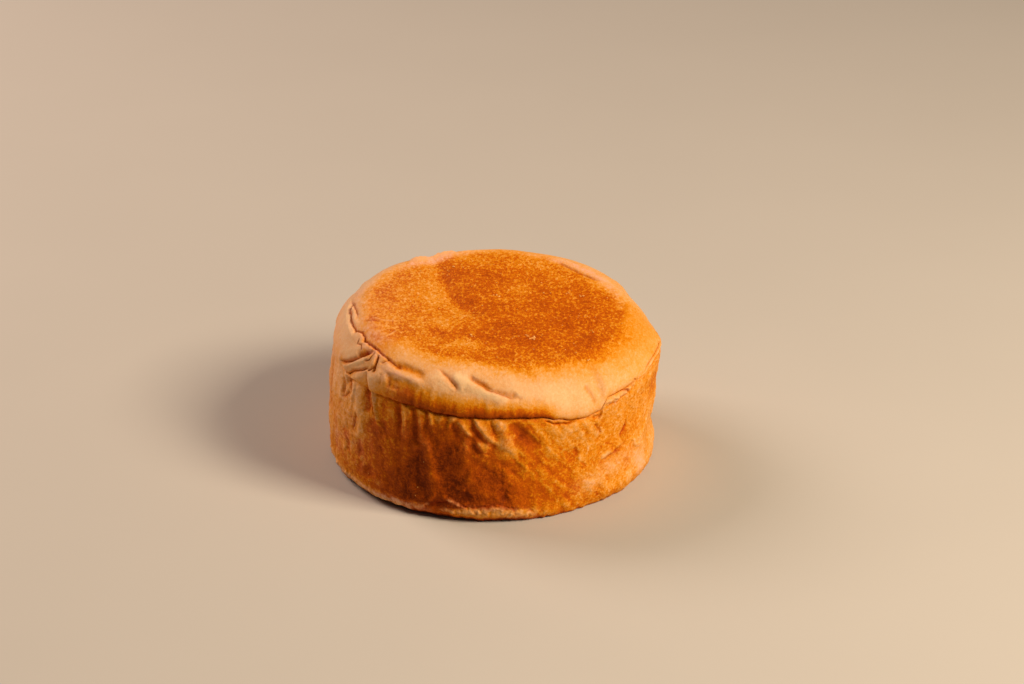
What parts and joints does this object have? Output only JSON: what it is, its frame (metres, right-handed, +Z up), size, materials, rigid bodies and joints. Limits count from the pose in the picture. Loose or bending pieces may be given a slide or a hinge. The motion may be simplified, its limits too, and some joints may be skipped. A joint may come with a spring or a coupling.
{
  "type": "english muffin",
  "caption": "Round griddled bread with a browned flat top, a pale rounded rim rolling over a creased, softly folded side, and a flat base it rests on.",
  "frame": {"origin": "centre of the bread's box, at the level of the flat base it rests on", "axes": "+Z up through the browned top; -Y towards the side with the widest folds; +X towards the side where the rim steps up to a sharp lip"},
  "size_m": [0.0898, 0.0896, 0.0445],
  "materials": {
    "crust": "matte"
  },
  "bodies": {
    "root": {"muffin": "crust"}
  },
  "joints": []
}
